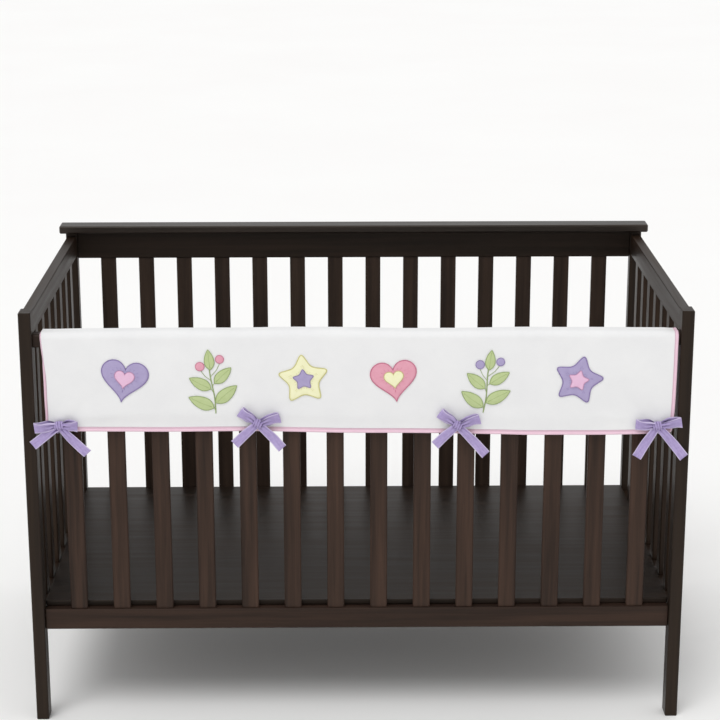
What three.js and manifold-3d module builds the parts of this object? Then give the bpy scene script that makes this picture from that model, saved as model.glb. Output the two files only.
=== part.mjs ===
// A padded crib rail cover with piping, ribbon ties and applique patches, on a plain crib.
// Millimetres, +Z up, the front towards -Y. The origin is on the floor, under the middle.
// Below, Y is measured from the front slats' front face until the whole is centred at the end.
import * as THREE from 'three';
import { mergeVertices } from 'three/addons/utils/BufferGeometryUtils.js';
import Module from 'manifold-3d';

const wasm = await Module();
wasm.setup();

// Crib
const gap = 0.3;
const innerHalf = 665;
const ease = 2;
const post = { width: 26, frontFace: -17, frontBack: 23, frontTop: 904, backFace: 740, backBack: 768 };
const cap = { half: 704, face: 722, back: 771, bottom: 910, top: 928, ease: 3 };
const topRail = { face: -5, back: 23, bottom: 828, top: 856, round: 6 };
const lowRail = { bottom: 205, top: 250 };
const slat = { width: 36, thick: 13, pitch: 91.07, count: 14 };
const back = { slatFace: 745, apronFace: 742, apronBack: 760, apronBottom: 846 };
const lowBack = { face: 740, back: 766 };
const side = { inside: 666, outside: 688, bottom: 852, top: 900, firstSlat: 80.5, pitch: 93.5, count: 7 };
const board = { thick: 12, lap: 9 };
const mortise = 10; // how far a glued slat runs into its rails

// Cover
const cover = {
  full: 9, // padding's thickness on the flaps
  turned: 7.2, // thickness where the fold turns down into the flap
  thin: 4, // thickness at the sewn edge
  taper: 32, // from the edge to the full thickness
  fillsBy: 70, // how far down the flap is full
  roundsBy: 1.5, // how steeply the fold thickens at its turns
  insideFront: -7.5,
  insideBack: 25.5,
  insideTop: topRail.top + 2,
  radius: 8,
  seat: 1.7, // how far the padding sinks onto the middle of the rail's top
  seatRound: 0.6,
  rise: 0.6, // how far the sewn edge stands off, clear of the rail
  bulge: 1.5, // how far the middle of a flap stands off
  tuckedLeft: 0.95, // share of the padding's thinning that lies on the face, at each edge
  tuckedRight: 0.2,
};
const springZ = cover.insideTop - cover.radius;
const tiePull = { depth: 3, reach: 55 };
// The cord in its strip: pressed is its half thickness on the rail, flange the strip's flat part.
const pipe = { radius: 3.1, pressed: 1.8, flange: 3.6, hidden: 0.6, edge: 1, clear: 0.4 };
const tuck = { turn: 45, from: 0.95, over: 0.23 }; // how the left edge rolls back, in degrees
const ribbon = { width: 21, gathered: 10, thick: 1.2 };
const knotHalf = { x: 9, y: 6.5, z: 7.5 };
const loop = { depth: 5.5, drift: 5, from: 0.12, frontLean: 0.4, backLean: 0.12, wider: 2, opens: 1.5 };
const tail = { curve: 4, ripple: 1.5, ripples: 2.5, from: 0.06, opens: 1.7 };
const patch = { lift: 0.6, thick: 1, over: 0.65 };

// The front flap's hem: height of the cloth's edge along X.
const frontHem = [
  { x: -650, z: 660.5 },
  { x: -498, z: 659.8 },
  { x: -407, z: 658.9 },
  { x: -277, z: 659.3 },
  { x: -128, z: 657.2 },
  { x: -40, z: 656 },
  { x: 110, z: 654.7 },
  { x: 220, z: 652.5 },
  { x: 309, z: 650.6 },
  { x: 345, z: 649.2 },
  { x: 409, z: 648.8 },
  { x: 500, z: 649.2 },
  { x: 600, z: 651 },
  { x: 655, z: 652.5 },
];
const backHem = [
  { x: -650, z: 656 },
  { x: -300, z: 653 },
  { x: 60, z: 657 },
  { x: 380, z: 651 },
  { x: 655, z: 655 },
];
// The flaps' side edges: drop is 0 at the fold and 1 at the hem.
const sideEdges = [
  { drop: 0, left: -642.6, right: 650.4 },
  { drop: 0.16, left: -641, right: 649.5 },
  { drop: 0.3, left: -640.2, right: 649.3 },
  { drop: 0.43, left: -638.9, right: 649.1 },
  { drop: 0.7, left: -638.7, right: 648.4 },
  { drop: 0.9, left: -638.2, right: 647.2 },
  { drop: 1, left: -639.5, right: 645 },
];
// How thick the cloth lies on the rail's top along X.
const onTop = [
  { x: -640, thick: 3 },
  { x: -570, thick: 3.8 },
  { x: -424, thick: 5.2 },
  { x: -265, thick: 5 },
  { x: -125, thick: 6.4 },
  { x: -34, thick: 5.9 },
  { x: 27, thick: 4.4 },
  { x: 106, thick: 2.4 },
  { x: 180, thick: 2.6 },
  { x: 259, thick: 3.2 },
  { x: 342, thick: 4.5 },
  { x: 413, thick: 3.6 },
  { x: 490, thick: 3.1 },
  { x: 600, thick: 1.8 },
  { x: 650, thick: 1.6 },
];
// Soft waves of the flaps: how far they stand off at the hem, and their lengths along X.
const waves = [
  { height: 1.4, length: 560, shift: 0.6 },
  { height: 0.8, length: 290, shift: 2.1 },
];
const backShift = 1.9; // how far the back flap's waves run ahead

// Tied bows, each from its knot: places are offsets along X and Z, strap is where its ribbon
// comes through between two slats.
const bows = [
  {
    knot: [-615.6, 665.7],
    strap: -624,
    loops: [[-51, -6], [38, -2]],
    tails: [[-56, -43], [57, -61]],
  },
  {
    knot: [-205.7, 668.1],
    strap: -193,
    loops: [[-36, 26], [46, 13]],
    tails: [[-48, -45], [51, -54]],
  },
  {
    knot: [207.5, 663.6],
    strap: 192,
    loops: [[-37, 27], [46, 14]],
    tails: [[-46, -43], [60, -64]],
  },
  {
    knot: [621.7, 661],
    strap: 634,
    loops: [[-45, 3], [50, 8]],
    tails: [[-41, -68], [58, -69]],
  },
];

// Applique: hearts, stars and leafy sprigs in a row.
const hearts = [
  { name: 'lavender', x: -478, z: 766, reach: 49, turn: -9, cloth: 'lavender', middle: 'palePink' },
  { name: 'pink', x: 76, z: 764, reach: 48, turn: 7, cloth: 'pink', middle: 'yellow' },
];
const stars = [
  { name: 'yellow', x: -110, z: 762, reach: 57, turn: 5, cloth: 'yellow', middle: 'lavender' },
  { name: 'lavender', x: 456, z: 758, reach: 56, turn: -13, cloth: 'lavender', middle: 'palePink' },
];
const sprigs = [
  { name: 'left', x: -298, z: 752, size: 1.2, turn: 6, berries: 'pink' },
  { name: 'right', x: 268, z: 750, size: 1.18, turn: -7, berries: 'lavender' },
];
const star = { points: 5, waist: 0.54, round: 0.3 };
const topPatch = { share: 0.42, rings: 1 }; // the smaller patch on a heart or a star
// A sprig's leaves and berries from its own middle, before its size.
const sprigLeaves = [
  { at: [-22, -30], turn: 150, half: 24, wide: 10.5 },
  { at: [22, -20], turn: 34, half: 24, wide: 10.5 },
  { at: [-20, 4], turn: 146, half: 21, wide: 9.5 },
  { at: [20, 14], turn: 38, half: 20, wide: 9 },
  { at: [0, 44], turn: 90, half: 18, wide: 8 },
];
const sprigBerries = [{ at: [-17, 34], half: 7.5 }, { at: [18, 43], half: 7 }];

// Finishes
const finish = {
  wood: { color: 0x2e2622, roughness: 0.45 },
  cloth: { color: 0xf2f2f2, roughness: 0.95 },
  piping: { color: 0xe9bfd0, roughness: 0.9 },
  ribbon: { color: 0xad9dcc, roughness: 0.7 },
  green: { color: 0xbccf90, roughness: 0.95 },
  pink: { color: 0xe896b0, roughness: 0.95 },
  lavender: { color: 0xb3a0d2, roughness: 0.95 },
  yellow: { color: 0xefeeb4, roughness: 0.95 },
  palePink: { color: 0xe8c0dc, roughness: 0.95 },
};

const whole = new THREE.Group();
const materials = {};
for (const [name, look] of Object.entries(finish)) {
  materials[name] = new THREE.MeshStandardMaterial({ ...look, metalness: 0 });
}

function add(name, geometry, look) {
  const mesh = new THREE.Mesh(geometry, materials[look]);
  mesh.name = name;
  whole.add(mesh);
}

// Small helpers
const smooth = (t) => THREE.MathUtils.smoothstep(t, 0, 1);
const mix = THREE.MathUtils.lerp;
const radians = THREE.MathUtils.degToRad;

// Reads a table between its rows along a smooth curve through them.
function read(table, key, value, column) {
  const next = table.findIndex((row) => row[key] > value);
  if (next === 0) return table[0][column];
  if (next < 0) return table[table.length - 1][column];
  const [a, b] = [table[next - 1], table[next]];
  const before = table[Math.max(0, next - 2)];
  const after = table[Math.min(table.length - 1, next + 1)];
  const span = b[key] - a[key];
  const share = (value - a[key]) / span;
  const slopeA = (b[column] - before[column]) / (b[key] - before[key]) * span;
  const slopeB = (after[column] - a[column]) / (after[key] - a[key]) * span;
  const rest = 1 - share;
  const level = a[column] * rest ** 2 * (1 + 2 * share) + b[column] * share ** 2 * (3 - 2 * share);
  return level + slopeA * share * rest ** 2 - slopeB * share ** 2 * rest;
}

function merged(geometry) {
  const bare = geometry.clone();
  bare.deleteAttribute('normal');
  bare.deleteAttribute('uv');
  return mergeVertices(bare, 1e-4);
}

function solid(geometry) {
  const shape = merged(geometry);
  const vertProperties = Float32Array.from(shape.attributes.position.array);
  const triVerts = Uint32Array.from(shape.index.array);
  return new wasm.Manifold(new wasm.Mesh({ numProp: 3, vertProperties, triVerts }));
}

function joined(geometries) {
  const shape = geometries.map(solid).reduce((sum, next) => sum.add(next)).getMesh();
  const geometry = new THREE.BufferGeometry();
  const places = Float32Array.from(shape.vertProperties);
  geometry.setAttribute('position', new THREE.BufferAttribute(places, 3));
  geometry.setIndex([...shape.triVerts]);
  geometry.computeVertexNormals();
  return geometry;
}

// A closed mesh from points and the triangles between them.
function meshOf(points, triangles) {
  const geometry = new THREE.BufferGeometry().setFromPoints(points);
  geometry.setIndex(triangles.flat());
  geometry.computeVertexNormals();
  return geometry;
}

// Skins a row of sections: each has an outside and an inside list of matching points. The outside
// runs anticlockwise about the row's direction.
function skin(sections) {
  const count = sections[0].outside.length;
  const loop = count * 2;
  const points = [];
  for (const { outside, inside } of sections) points.push(...outside, ...[...inside].reverse());
  const triangles = [];
  const quad = (a, b, c, d) => triangles.push([a, b, c], [a, c, d]);
  for (let k = 0; k < sections.length - 1; k++) {
    for (let i = 0; i < loop; i++) {
      const j = (i + 1) % loop;
      quad(k * loop + i, k * loop + j, (k + 1) * loop + j, (k + 1) * loop + i);
    }
  }
  const last = (sections.length - 1) * loop;
  for (let i = 0; i < count - 1; i++) {
    quad(i + 1, i, loop - 1 - i, loop - 2 - i);
    quad(last + i, last + i + 1, last + loop - 2 - i, last + loop - 1 - i);
  }
  return meshOf(points, triangles);
}

// Wood: a bar with eased edges, between two corners.
function bar([x0, x1], [y0, y1], [z0, z1], eased = ease) {
  const outline = new THREE.Shape();
  const [w, d] = [(x1 - x0) / 2, (y1 - y0) / 2];
  outline.moveTo(-w + eased, -d);
  outline.lineTo(w - eased, -d);
  outline.lineTo(w, -d + eased);
  outline.lineTo(w, d - eased);
  outline.lineTo(w - eased, d);
  outline.lineTo(-w + eased, d);
  outline.lineTo(-w, d - eased);
  outline.lineTo(-w, -d + eased);
  const options = {
    depth: z1 - z0 - 2 * eased,
    bevelEnabled: true,
    bevelThickness: eased,
    bevelSize: eased / 2,
    bevelOffset: -eased / 2,
    bevelSegments: 1,
  };
  const geometry = new THREE.ExtrudeGeometry(outline, options);
  return geometry.translate((x0 + x1) / 2, (y0 + y1) / 2, z0 + eased);
}

// Wood: an upright slat, eased along its length only.
function upright([x0, x1], [y0, y1], [z0, z1]) {
  const outline = new THREE.Shape();
  outline.moveTo(x0 + ease, y0);
  outline.lineTo(x1 - ease, y0);
  outline.lineTo(x1, y0 + ease);
  outline.lineTo(x1, y1 - ease);
  outline.lineTo(x1 - ease, y1);
  outline.lineTo(x0 + ease, y1);
  outline.lineTo(x0, y1 - ease);
  outline.lineTo(x0, y0 + ease);
  const geometry = new THREE.ExtrudeGeometry(outline, { depth: z1 - z0, bevelEnabled: false });
  return geometry.translate(0, 0, z0);
}

function slatSpan(k) {
  const left = (k - (slat.count - 1) / 2) * slat.pitch - slat.width / 2;
  return [left, left + slat.width];
}

function addPosts() {
  for (const [label, sign] of [['left', -1], ['right', 1]]) {
    const span = [innerHalf, innerHalf + post.width].map((x) => x * sign).sort((a, b) => a - b);
    add(`post_front_${label}`, bar(span, [post.frontFace, post.frontBack], [0, post.frontTop]), 'wood');
    add(`post_back_${label}`, bar(span, [post.backFace, post.backBack], [0, cap.bottom - gap]), 'wood');
  }
}

// The rail that the cover is folded over: its top edges are rounded.
function topRailShape() {
  const { face, back: behind, bottom, top, round } = topRail;
  const outline = new THREE.Shape();
  outline.moveTo(face + ease, bottom);
  outline.lineTo(behind - ease, bottom);
  outline.lineTo(behind, bottom + ease);
  outline.absarc(behind - round, top - round, round, 0, Math.PI / 2, false);
  outline.absarc(face + round, top - round, round, Math.PI / 2, Math.PI, false);
  outline.lineTo(face, bottom + ease);
  const half = innerHalf - gap;
  const options = { depth: 2 * half, bevelEnabled: false, curveSegments: 4 };
  const geometry = new THREE.ExtrudeGeometry(outline, options);
  geometry.rotateX(Math.PI / 2);
  geometry.rotateZ(Math.PI / 2);
  return geometry.translate(-half, 0, 0);
}

function addFront() {
  const half = innerHalf - gap;
  add('rail_top_front', topRailShape(), 'wood');
  const depth = [topRail.face, topRail.back];
  add('rail_low_front', bar([-half, half], depth, [lowRail.bottom, lowRail.top]), 'wood');
  for (let k = 0; k < slat.count; k++) {
    const number = String(k + 1).padStart(2, '0');
    const height = [lowRail.top + gap, topRail.bottom - gap];
    add(`slat_front_${number}`, upright(slatSpan(k), [0, slat.thick], height), 'wood');
  }
}

function addBack() {
  const half = innerHalf - gap;
  const pieces = [
    bar([-half, half], [back.apronFace, back.apronBack], [back.apronBottom, cap.bottom - gap]),
    bar([-half, half], [lowBack.face, lowBack.back], [lowRail.bottom, lowRail.top]),
  ];
  for (let k = 0; k < slat.count; k++) {
    const height = [lowRail.top - mortise, back.apronBottom + mortise];
    pieces.push(upright(slatSpan(k), [back.slatFace, back.slatFace + slat.thick], height));
  }
  add('panel_back', joined(pieces), 'wood');
  const capSize = [[-cap.half, cap.half], [cap.face, cap.back], [cap.bottom, cap.top]];
  add('cap_back', bar(...capSize, cap.ease), 'wood');
}

function addSides() {
  const depth = [post.frontBack + gap, post.backFace - gap];
  const slatInset = 5;
  for (const [label, sign] of [['left', -1], ['right', 1]]) {
    const across = (a, b) => [a * sign, b * sign].sort((p, q) => p - q);
    const pieces = [
      bar(across(side.inside, side.outside), depth, [side.bottom, side.top]),
      bar(across(side.inside, side.outside), depth, [lowRail.bottom, lowRail.top]),
    ];
    for (let k = 0; k < side.count; k++) {
      const start = side.firstSlat + k * side.pitch;
      const span = across(side.inside + slatInset, side.outside - slatInset);
      const height = [lowRail.top - mortise, side.bottom + mortise];
      pieces.push(upright(span, [start, start + slat.width], height));
    }
    add(`panel_side_${label}`, joined(pieces), 'wood');
  }
}

// The board inside lies on the front and back low rails, between the two rows of slats.
function addBoard() {
  const half = innerHalf - 2 * gap;
  const depth = [topRail.back - board.lap, back.slatFace - 2 * gap];
  const bottom = lowRail.top + gap;
  add('base_board', bar([-half, half], depth, [bottom, bottom + board.thick]), 'wood');
}

// Cover. Round the rail, t runs from 0 at the front hem over the fold, 1 to 2, to 3 at the back hem.
// Along the rail, v runs from 0 at the left edge to 1 at the right.
const foldFlat = cover.insideBack - cover.insideFront - 2 * cover.radius;
const foldArc = cover.radius * Math.PI / 2;
const foldLength = 2 * foldArc + foldFlat;
const dropAt = (t) => Math.max(0, 1 - t, t - 2);
const hemHeight = (x, t) => read(t < 1.5 ? frontHem : backHem, 'x', x, 'z');

function edgesAt(t) {
  const drop = dropAt(t);
  return [read(sideEdges, 'drop', drop, 'left'), read(sideEdges, 'drop', drop, 'right')];
}

// The padding's thickness away from the edges, and with the edges thinned.
function loftAt(x, t) {
  if (t > 1 && t < 2) {
    const fromTop = Math.max(0, Math.abs(t - 1.5) * foldLength - foldFlat / 2) / foldArc;
    return mix(read(onTop, 'x', x, 'thick'), cover.turned, fromTop ** cover.roundsBy);
  }
  const fall = dropAt(t) * (springZ - hemHeight(x, t));
  return mix(cover.turned, cover.full, Math.sin(Math.min(1, fall / cover.fillsBy) * Math.PI / 2));
}

function thicknessAt(x, t) {
  const [left, right] = edgesAt(t);
  const toHem = (1 - dropAt(t)) * (springZ - hemHeight(x, t));
  const toEdge = Math.min(x - left, right - x, toHem);
  const loft = loftAt(x, t);
  return mix(Math.min(cover.thin, loft), loft, smooth(Math.max(0, toEdge) / cover.taper));
}

// How far the flap stands off its straight line: waves towards the hem, drawn in at each tie.
function slackAt(x, t) {
  const drop = dropAt(t);
  const phase = t < 1.5 ? 0 : backShift;
  let slack = 0;
  for (const { height, length, shift } of waves) {
    slack += height * Math.sin(2 * Math.PI * x / length + shift + phase);
  }
  for (const { knot } of bows) {
    slack -= tiePull.depth * drop * Math.exp(-(((x - knot[0]) / tiePull.reach) ** 2));
  }
  return slack * drop + cover.bulge * Math.sin(Math.PI * drop);
}

// The inside line round the rail: where it is, which way is out, and how far it sinks to its seat.
function lineAt(x, t) {
  if (t <= 1 || t >= 2) {
    const z = mix(springZ, hemHeight(x, t), dropAt(t));
    const front = t <= 1;
    return { y: front ? cover.insideFront : cover.insideBack, z, out: [front ? -1 : 1, 0], sink: 0 };
  }
  const along = (t - 1) * foldLength;
  const flat = THREE.MathUtils.clamp(along - foldArc, 0, foldFlat);
  const turned = (along - flat) / foldArc * Math.PI / 2;
  const out = [-Math.cos(turned), Math.sin(turned)];
  const y = cover.insideFront + cover.radius + flat + out[0] * cover.radius;
  const z = springZ + out[1] * cover.radius;
  const sink = cover.seat * Math.sin(Math.PI * flat / foldFlat) ** cover.seatRound;
  return { y, z, out, sink };
}

function coverPoint(v, t, outside) {
  const [left, right] = edgesAt(t);
  const x = mix(left, right, v);
  const line = lineAt(x, t);
  const thickness = thicknessAt(x, t);
  const tucked = mix(cover.tuckedLeft, cover.tuckedRight, v);
  const atEdge = 1 - smooth(Math.min(x - left, right - x) / cover.taper);
  const inner = slackAt(x, t) + (loftAt(x, t) - thickness) * (1 - tucked) + cover.rise * atEdge;
  const away = outside ? inner + thickness : inner - line.sink;
  return new THREE.Vector3(x, line.y + line.out[0] * away, line.z + line.out[1] * away);
}

// The front flap's outer face at a place on it.
function faceY(x, z) {
  const t = 1 - (springZ - z) / (springZ - hemHeight(x, 0));
  const [left, right] = edgesAt(t);
  return coverPoint((x - left) / (right - left), t, true).y;
}

function coverStations() {
  const flap = [0, 0.045, 0.1, 0.18, 0.34, 0.52, 0.7, 0.86];
  const arcSteps = 4;
  const flatSteps = 4;
  const fold = [];
  for (let i = 0; i <= arcSteps; i++) fold.push(i / arcSteps * foldArc);
  for (let i = 1; i <= flatSteps; i++) fold.push(foldArc + i / flatSteps * foldFlat);
  for (let i = 1; i <= arcSteps; i++) fold.push(foldArc + foldFlat + i / arcSteps * foldArc);
  const backFlap = flap.filter((t) => t !== 0.34 && t !== 0.86).map((t) => 3 - t).reverse();
  return [...flap, ...fold.map((along) => 1 + along / foldLength), ...backFlap];
}

function coverColumns() {
  const columns = [];
  const near = [0, 7, 16, 30];
  const width = 1290;
  const middle = 30;
  for (const d of near) columns.push(d / width);
  const start = near[near.length - 1] / width;
  for (let i = 1; i < middle; i++) columns.push(mix(start, 1 - start, i / middle));
  for (const d of [...near].reverse()) columns.push(1 - d / width);
  return columns;
}

function addCover() {
  const stations = coverStations();
  const sections = coverColumns().map((v) => ({
    outside: stations.map((t) => coverPoint(v, t, true)).reverse(),
    inside: stations.map((t) => coverPoint(v, t, false)).reverse(),
  }));
  add('cover', skin(sections), 'cloth');
}

// A place on the cover's edge where the piping is sewn: the cloth's middle there, its outward face
// and the way out of it, which rolls back behind the flap down the left edge.
function edgePlace(v, t, side, down) {
  const outer = coverPoint(v, t, true);
  const inside = coverPoint(v, t, false);
  const flatFace = outer.clone().sub(inside).normalize();
  const flatOut = new THREE.Vector3(side, 0, -down);
  const leftward = t <= 1 ? Math.max(0, -side) : 0;
  const turn = radians(tuck.turn) * leftward * smooth((tuck.from - t) / tuck.over);
  const face = flatFace.clone().multiplyScalar(Math.cos(turn)).addScaledVector(flatOut, Math.sin(turn));
  const out = flatOut.multiplyScalar(Math.cos(turn)).addScaledVector(flatFace, -Math.sin(turn));
  const onRail = t > 1 && t < 2 ? Math.sin(Math.PI * (t - 1)) ** cover.seatRound : 0;
  return {
    middle: outer.clone().lerp(inside, 0.5),
    face,
    out,
    clear: pipe.clear + pipe.edge * Math.sin(turn),
    thick: mix(pipe.radius, pipe.pressed, onRail),
    flange: mix(pipe.flange, pipe.hidden, Math.max(0, -side)),
  };
}

function edgePath() {
  const columns = coverColumns();
  const stations = coverStations();
  const corner = [[0.38, 0.92], [0.71, 0.71], [0.92, 0.38]];
  const cornerBack = [...corner].reverse();
  const places = [];
  for (const v of columns) places.push(edgePlace(v, 0, 0, 1));
  for (const [side, down] of corner) places.push(edgePlace(1, 0, side, down));
  for (const t of stations) places.push(edgePlace(1, t, 1, 0));
  for (const [side, down] of cornerBack) places.push(edgePlace(1, 3, side, down));
  for (const v of [...columns].reverse()) places.push(edgePlace(v, 3, 0, 1));
  for (const [side, down] of corner) places.push(edgePlace(0, 3, -side, down));
  for (const t of [...stations].reverse()) places.push(edgePlace(0, t, -1, 0));
  for (const [side, down] of cornerBack) places.push(edgePlace(0, 0, -side, down));
  return places;
}

function addPiping() {
  const places = edgePath();
  const cordTurns = [125, 70, 20, -20, -70, -125].map(radians);
  const rings = places.map(({ middle, face, out, clear, thick, flange }) => {
    const at = (outward, up) => {
      return middle.clone().addScaledVector(out, clear + outward).addScaledVector(face, up);
    };
    const cord = cordTurns.map((turn) => {
      return at(flange + pipe.radius * (1 + Math.cos(turn)), thick * Math.sin(turn));
    });
    return [at(0, pipe.edge), ...cord, at(0, -pipe.edge)];
  });
  const sides = cordTurns.length + 2;
  const triangles = [];
  for (let k = 0; k < rings.length; k++) {
    const [here, next] = [k * sides, (k + 1) % rings.length * sides];
    for (let i = 0; i < sides; i++) {
      const j = (i + 1) % sides;
      triangles.push([here + i, here + j, next + j], [here + i, next + j, next + i]);
    }
  }
  add('piping', meshOf(rings.flat(), triangles), 'piping');
}

// Ribbon along a path: each step has its place, the direction across the ribbon and its width.
function ribbonAlong(steps) {
  const sections = steps.map(({ at, across, width }, k) => {
    const before = steps[Math.max(0, k - 1)].at;
    const after = steps[Math.min(steps.length - 1, k + 1)].at;
    const going = after.clone().sub(before).normalize();
    const half = across.clone().multiplyScalar(width / 2);
    const normal = across.clone().cross(going).normalize().multiplyScalar(ribbon.thick / 2);
    const corner = (a, b) => at.clone().addScaledVector(half, a).addScaledVector(normal, b);
    return { outside: [corner(-1, 1), corner(1, 1)], inside: [corner(-1, -1), corner(1, -1)] };
  });
  return skin(sections);
}

// A bow's loop goes out on the front of the knot, turns at its tip and comes back behind. Both
// layers lean apart, so that the loop stands open at the top.
function loopShape(knot, [dx, dz]) {
  const reach = Math.hypot(dx, dz);
  const direction = new THREE.Vector3(dx / reach, 0, dz / reach);
  const rising = new THREE.Vector3(-direction.z, 0, direction.x);
  const forward = new THREE.Vector3(0, -Math.sign(dx), 0);
  const steps = [];
  const count = 10;
  for (let i = 0; i <= count; i++) {
    const angle = mix(loop.from, 2 - loop.from, i / count) * Math.PI;
    const share = (1 - Math.cos(angle)) / 2;
    const at = knot.clone().addScaledVector(direction, reach * share);
    at.y -= loop.depth * Math.sin(angle) + loop.drift * share;
    const lean = Math.sin(angle) * (angle < Math.PI ? loop.frontLean : loop.backLean);
    const across = rising.clone().multiplyScalar(Math.cos(lean));
    across.addScaledVector(forward, Math.sin(lean));
    const width = mix(ribbon.gathered, ribbon.width + loop.wider, smooth(loop.opens * share));
    steps.push({ at, across, width });
  }
  return ribbonAlong(steps);
}

function tailShape(knot, [dx, dz]) {
  const length = Math.hypot(dx, dz);
  const direction = new THREE.Vector3(dx / length, 0, dz / length);
  const across = new THREE.Vector3(-direction.z, 0, direction.x);
  const steps = [];
  const count = 6;
  for (let i = 0; i <= count; i++) {
    const share = mix(tail.from, 1, i / count);
    const at = knot.clone().addScaledVector(direction, share * length);
    at.addScaledVector(across, Math.sign(dx) * tail.curve * Math.sin(Math.PI * share));
    at.y -= tail.ripple * Math.sin(tail.ripples * Math.PI * share);
    const width = mix(ribbon.gathered, ribbon.width, smooth(share * tail.opens));
    steps.push({ at, across, width });
  }
  return ribbonAlong(steps);
}

// The ribbon from under the back piping, through the gap between two slats and up to the knot.
// It is gathered narrow, so that a tail hides it in front.
function strapShape(x, knot, frontY, lowFront, lowBack) {
  const across = new THREE.Vector3(1, 0, 0);
  const low = Math.min(lowFront, lowBack) - 1.4;
  const kneeY = frontY + 4;
  const route = [
    { x: knot.x, y: frontY, z: knot.z + 4, width: 10 },
    { x: mix(knot.x, x, 0.6), y: frontY, z: lowFront + 2, width: 10 },
    { x: mix(knot.x, x, 0.9), y: kneeY, z: lowFront - 2.2, width: 11 },
    { x, y: kneeY + 6, z: low, width: 12 },
    { x, y: slat.thick / 2, z: low, width: 12 },
    { x, y: 20, z: low, width: 13 },
    { x, y: 32, z: lowBack - 1.2, width: 14 },
  ];
  const steps = route.map(({ width, ...place }) => {
    return { at: new THREE.Vector3(place.x, place.y, place.z), across, width };
  });
  return ribbonAlong(steps);
}

// The lowest point of the hem's piping, and how far forward it is.
function pipingAt(x, t) {
  const [left, right] = edgesAt(t);
  const { middle } = edgePlace((x - left) / (right - left), t, 0, 1);
  return { y: middle.y, low: middle.z - pipe.clear - pipe.flange - 2 * pipe.radius };
}

function addTies() {
  bows.forEach((bow, k) => {
    const [x, z] = bow.knot;
    const number = k + 1;
    const hem = pipingAt(x, 0);
    const hemBehind = pipingAt(bow.strap, 3);
    const aboveKnot = 5;
    const coverFront = Math.min(hem.y - pipe.radius, faceY(x, z + aboveKnot));
    const strapY = coverFront - 2 * gap - ribbon.thick / 2;
    const knot = new THREE.Vector3(x, strapY - ribbon.thick / 2 - gap - knotHalf.y, z);
    const ball = new THREE.SphereGeometry(1, 10, 7);
    ball.rotateX(Math.PI / 2);
    ball.scale(knotHalf.x, knotHalf.y, knotHalf.z);
    ball.translate(knot.x, knot.y, knot.z);
    const loops = bow.loops.map((place) => loopShape(knot, place));
    const tails = bow.tails.map((place) => tailShape(knot, place));
    add(`bow_${number}`, joined([ball, ...loops, ...tails]), 'ribbon');
    add(`tie_strap_${number}`, strapShape(bow.strap, knot, strapY, hem.low, hemBehind.low), 'ribbon');
  });
}

// Patches. An outline is a list of points from its own middle, on the flap, as x and z. This one
// is a heart, a closed curve of a few cosines.
function heartOutline(reach, count) {
  const outline = [];
  for (let i = 0; i < count; i++) {
    const turn = i / count * 2 * Math.PI;
    const [one, two, three, four] = [1, 2, 3, 4].map((k) => Math.cos(k * turn));
    const rise = (13 * one - 5 * two - 2 * three - four) / 16;
    outline.push([-reach * Math.sin(turn) ** 3, reach * rise]);
  }
  return outline;
}

// Rounds every corner of an outline with a curve of the given steps.
function rounded(corners, share, steps) {
  return corners.flatMap(([x, z], k) => {
    const before = corners[(k + corners.length - 1) % corners.length];
    const after = corners[(k + 1) % corners.length];
    const curve = [];
    for (let i = 0; i <= steps; i++) {
      const s = i / steps;
      const [a, b] = [share * (1 - s) ** 2, share * s ** 2];
      curve.push([mix(mix(x, before[0], a), after[0], b), mix(mix(z, before[1], a), after[1], b)]);
    }
    return curve;
  });
}

function starOutline(reach, steps) {
  const corners = [];
  for (let k = 0; k < 2 * star.points; k++) {
    const turn = radians(90 + k * 180 / star.points);
    const far = reach * (k % 2 ? star.waist : 1);
    corners.push([far * Math.cos(turn), far * Math.sin(turn)]);
  }
  return rounded(corners, star.round, steps);
}

function oval(long, wide, count) {
  const outline = [];
  for (let i = 0; i < count; i++) {
    const angle = i / count * 2 * Math.PI;
    outline.push([long * Math.cos(angle), wide * Math.sin(angle)]);
  }
  return outline;
}

// A leaf is an oval drawn to a point at both ends and fuller towards its stalk.
function leafOutline(half, wide, count) {
  const fuller = 0.3;
  return oval(half, wide, count).map(([x, z]) => {
    const along = x / half;
    return [x, z * (1 - fuller * along) * Math.sqrt(1 - Math.abs(along) ** 3)];
  });
}

function placed(outline, x, z, turn) {
  const [c, s] = [Math.cos(radians(turn)), Math.sin(radians(turn))];
  return outline.map(([a, b]) => [x + a * c - b * s, z + a * s + b * c]);
}

function patchShape(outline, [cx, cz], lift, rings) {
  const points = [];
  const triangles = [];
  const count = outline.length;
  for (const height of [lift + patch.thick, lift]) {
    points.push(new THREE.Vector3(cx, faceY(cx, cz) - height, cz));
    for (let r = 1; r <= rings; r++) {
      for (const [ox, oz] of outline) {
        const [x, z] = [mix(cx, ox, r / rings), mix(cz, oz, r / rings)];
        points.push(new THREE.Vector3(x, faceY(x, z) - height, z));
      }
    }
  }
  const layer = 1 + rings * count;
  for (let i = 0; i < count; i++) {
    const j = (i + 1) % count;
    triangles.push([0, 1 + i, 1 + j], [layer, layer + 1 + j, layer + 1 + i]);
    for (let r = 0; r < rings - 1; r++) {
      const [a, b] = [1 + r * count + i, 1 + r * count + j];
      const [c, d] = [b + count, a + count];
      triangles.push([a, d, c], [a, c, b]);
      triangles.push([layer + a, layer + c, layer + d], [layer + a, layer + b, layer + c]);
    }
    const [p, q] = [1 + (rings - 1) * count + i, 1 + (rings - 1) * count + j];
    triangles.push([p, layer + p, layer + q], [p, layer + q, q]);
  }
  return meshOf(points, triangles);
}

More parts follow.
